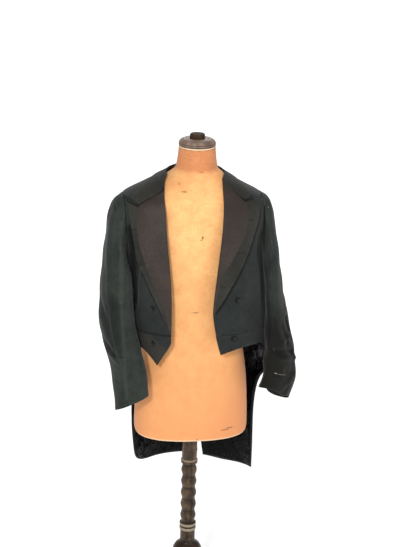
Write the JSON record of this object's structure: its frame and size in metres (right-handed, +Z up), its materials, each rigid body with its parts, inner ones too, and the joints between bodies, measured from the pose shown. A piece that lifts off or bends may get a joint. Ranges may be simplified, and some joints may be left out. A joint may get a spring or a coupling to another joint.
{
  "type": "tailcoat on dress form",
  "caption": "Black double-breasted evening tailcoat with silk-faced peak lapels, open over a limbless cloth-covered dress form on a turned wooden stand.",
  "frame": {"origin": "centre of the stand's underside, on the floor", "axes": "+Z up along the post; -Y towards the coat's front; +X towards the wearer's left"},
  "size_m": [0.5744, 0.38, 1.497],
  "materials": {
    "wool_cloth": "dull fine wool",
    "lapel_silk": "fine ribbed silk",
    "black_satin": "glossy satin",
    "form_canvas": "smooth matt",
    "cap_wood": "satin",
    "dark_wood": "satin varnish"
  },
  "bodies": {
    "root": {"forepart_right": "wool_cloth", "side_body_right": "wool_cloth", "back_right": "wool_cloth", "skirt_right": "wool_cloth", "front_point_right": "wool_cloth", "lapel_right": "wool_cloth", "top_sleeve_right": "wool_cloth", "under_sleeve_right": "wool_cloth", "skirt_lining_right": "black_satin", "back_lining_right": "black_satin", "lapel_silk_right": "lapel_silk", "button_front_right_upper": "wool_cloth", "button_front_right_lower": "wool_cloth", "button_back_right": "wool_cloth", "forepart_left": "wool_cloth", "side_body_left": "wool_cloth", "back_left": "wool_cloth", "skirt_left": "wool_cloth", "front_point_left": "wool_cloth", "lapel_left": "wool_cloth", "top_sleeve_left": "wool_cloth", "under_sleeve_left": "wool_cloth", "skirt_lining_left": "black_satin", "back_lining_left": "black_satin", "lapel_silk_left": "lapel_silk", "button_front_left_upper": "wool_cloth", "button_front_left_lower": "wool_cloth", "button_back_left": "wool_cloth", "collar_fall": "wool_cloth", "collar_stand": "wool_cloth", "form_torso": "form_canvas", "form_neck_cap": "cap_wood", "form_cap_stub": "dark_wood", "stand_post": "dark_wood", "stand_base": "dark_wood"}
  },
  "joints": []
}
